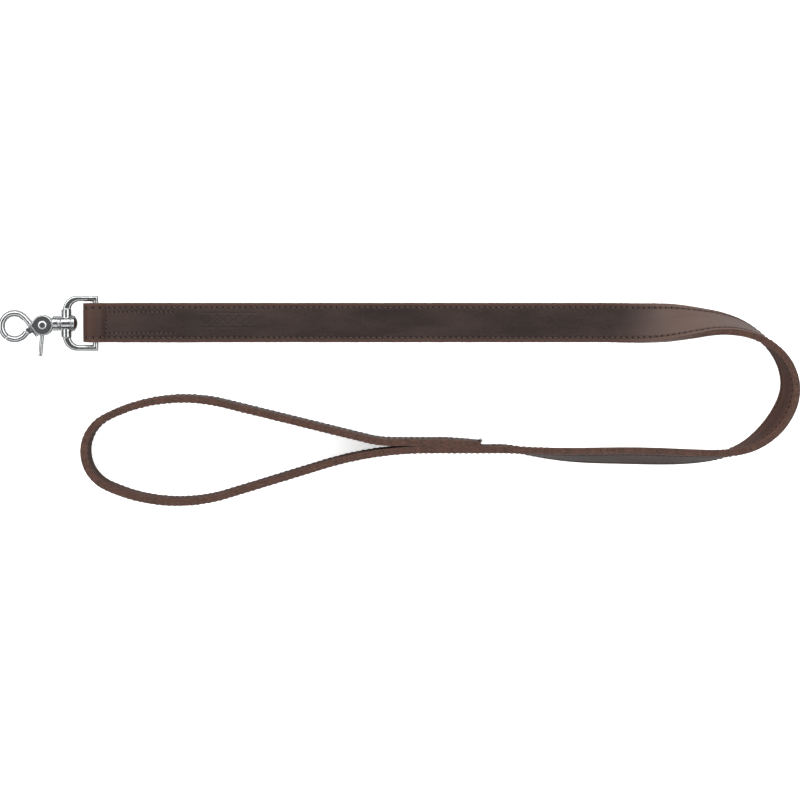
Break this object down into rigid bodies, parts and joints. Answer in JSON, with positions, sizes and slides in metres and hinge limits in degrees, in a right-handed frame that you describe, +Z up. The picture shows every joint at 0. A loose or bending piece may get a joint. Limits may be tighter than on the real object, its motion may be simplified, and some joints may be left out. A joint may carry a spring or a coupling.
{
  "type": "training leash",
  "caption": "Flat leather training leash with a sewn hand loop, a swivel frame and a trigger snap hook, laid out with one bend.",
  "frame": {"origin": "on the surface the leash lies on, under the middle of the laid-out leash", "axes": "+X from the snap hook towards the bend of the strap, +Y from the hand loop towards the lead, +Z up"},
  "size_m": [0.5046, 0.1322, 0.0257],
  "materials": {
    "grain_leather": "oiled pull-up grain, satin",
    "lining_leather": "matt reverse side",
    "thread": "waxed rust-brown thread",
    "nickel": "bright nickel plate",
    "steel_wire": "bright spring steel"
  },
  "bodies": {
    "lead": {"face_leather_lead": "grain_leather", "lining_leather_lead": "lining_leather", "outer_edge_seam_lead": "thread", "inner_edge_seam_lead": "thread", "snap_box_seam": "thread"},
    "handle": {"face_leather_handle": "grain_leather", "lining_leather_handle": "lining_leather", "outer_edge_seam_handle": "thread", "inner_edge_seam_handle": "thread", "handle_box_seam": "thread"},
    "frame": {"swivel_frame": "nickel"},
    "hook": {"swivel_stud": "nickel", "swivel_washer": "nickel", "hook_body": "nickel", "gate_rivet": "nickel", "gate_spring": "steel_wire"},
    "gate": {"gate": "nickel"}
  },
  "joints": [
    {"name": "bend_flex", "type": "hinge", "parent": "lead", "child": "handle", "pos_m": [0.2472, 0.0064, 0.0127], "axis": [0, 0, 1], "range_deg": [-4, 20]},
    {"name": "frame_swing", "type": "hinge", "parent": "lead", "child": "frame", "pos_m": [-0.191, 0.0482, 0.0063], "axis": [0, 1, 0], "range_deg": [-4, 130]},
    {"name": "hook_swivel", "type": "hinge", "parent": "frame", "child": "hook", "pos_m": [-0.2095, 0.0482, 0.0063], "axis": [1, 0, 0], "continuous": true},
    {"name": "gate_pivot", "type": "hinge", "parent": "hook", "child": "gate", "pos_m": [-0.22425, 0.047, 0.0063], "axis": [0, 0, 1], "range_deg": [0, 28], "stiffness_Nm_per_rad": 0.02, "springref_deg": -28.65, "deforming": ["gate_spring"]}
  ]
}
